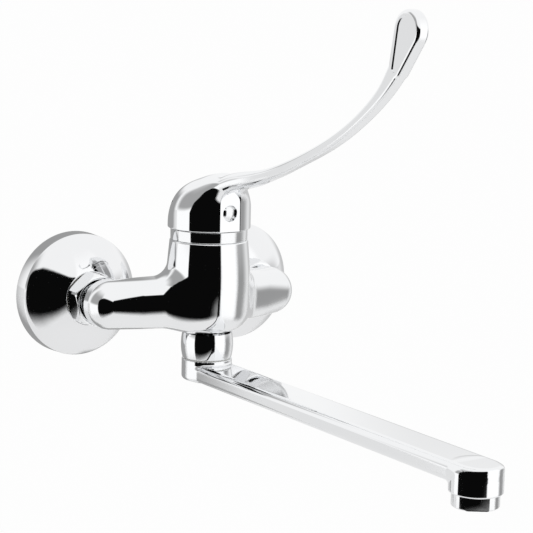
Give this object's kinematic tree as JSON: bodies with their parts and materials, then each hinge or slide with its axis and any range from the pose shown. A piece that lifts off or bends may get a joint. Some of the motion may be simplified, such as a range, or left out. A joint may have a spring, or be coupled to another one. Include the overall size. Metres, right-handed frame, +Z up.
{
  "type": "elbow lever tap",
  "caption": "Wall-mounted mixer tap with a long curved elbow lever on top, a long straight swivel spout below and bell-shaped wall rosettes.",
  "frame": {"origin": "on the wall's surface, midway between the two wall connections and level with them", "axes": "+X to the right when facing the tap, +Y into the wall, +Z up; the spout and the lever point to -Y"},
  "size_m": [0.1838, 0.3386, 0.2342],
  "materials": {
    "chrome_cast": "chrome plated brass, mirror bright",
    "chrome_sheet": "chrome plated sheet, mirror bright",
    "chrome_trim": "chrome plated plastic",
    "brass": "bare turned brass",
    "steel": "stainless",
    "plastic": "off-white acetal",
    "ceramic": "white alumina, polished faces",
    "rubber": "black rubber"
  },
  "bodies": {
    "mixer_body": {"tap_body": "chrome_cast", "cover_ring": "chrome_trim", "cover_ring_seal": "rubber", "cartridge_nut": "brass", "cartridge_housing": "plastic", "cartridge_base": "plastic", "port_seals": "rubber", "fixed_disc": "ceramic", "spout_socket": "chrome_cast", "glide_ring": "plastic", "tail_nipple_left": "chrome_cast", "tail_nipple_right": "chrome_cast", "union_nut_left": "chrome_cast", "union_nut_right": "chrome_cast", "union_washer_left": "rubber", "union_washer_right": "rubber", "strainer_left": "steel", "strainer_right": "steel", "eccentric_union_left": "chrome_cast", "eccentric_union_right": "chrome_cast", "rosette_left": "chrome_sheet", "rosette_right": "chrome_sheet"},
    "rotor": {"spindle_holder": "plastic", "spindle_pin": "steel"},
    "lever_arm": {"lever": "chrome_cast", "spindle": "steel", "grub_screw": "steel", "screw_plug": "chrome_trim"},
    "disc_slider": {"moving_disc": "ceramic", "disc_carrier": "plastic"},
    "swivel_spout": {"spout": "chrome_cast", "spout_spigot": "brass", "spout_seals": "rubber", "retaining_ring": "plastic", "aerator_housing": "chrome_cast", "aerator_core": "plastic", "aerator_screen": "steel", "aerator_washer": "rubber"}
  },
  "joints": [
    {"name": "lever_swivel", "type": "hinge", "parent": "mixer_body", "child": "rotor", "pos_m": [0, -0.0664, 0.031], "axis": [0, 0, 1], "range_deg": [-50, 50]},
    {"name": "lever_tilt", "type": "hinge", "parent": "rotor", "child": "lever_arm", "pos_m": [0, -0.0664, 0.031], "axis": [-1, 0, 0], "range_deg": [0, 25]},
    {"name": "disc_slide", "type": "slide", "parent": "rotor", "child": "disc_slider", "axis": [0, -1, 0], "range_m": [0, 0.0028]},
    {"name": "spout_swivel", "type": "hinge", "parent": "mixer_body", "child": "swivel_spout", "pos_m": [0, -0.0664, -0.0324], "axis": [0, 0, 1], "range_deg": [-90, 90]}
  ],
  "couplings": [
    {"joint": "disc_slide", "follows": "lever_tilt", "m_per_rad": 0.0062}
  ]
}
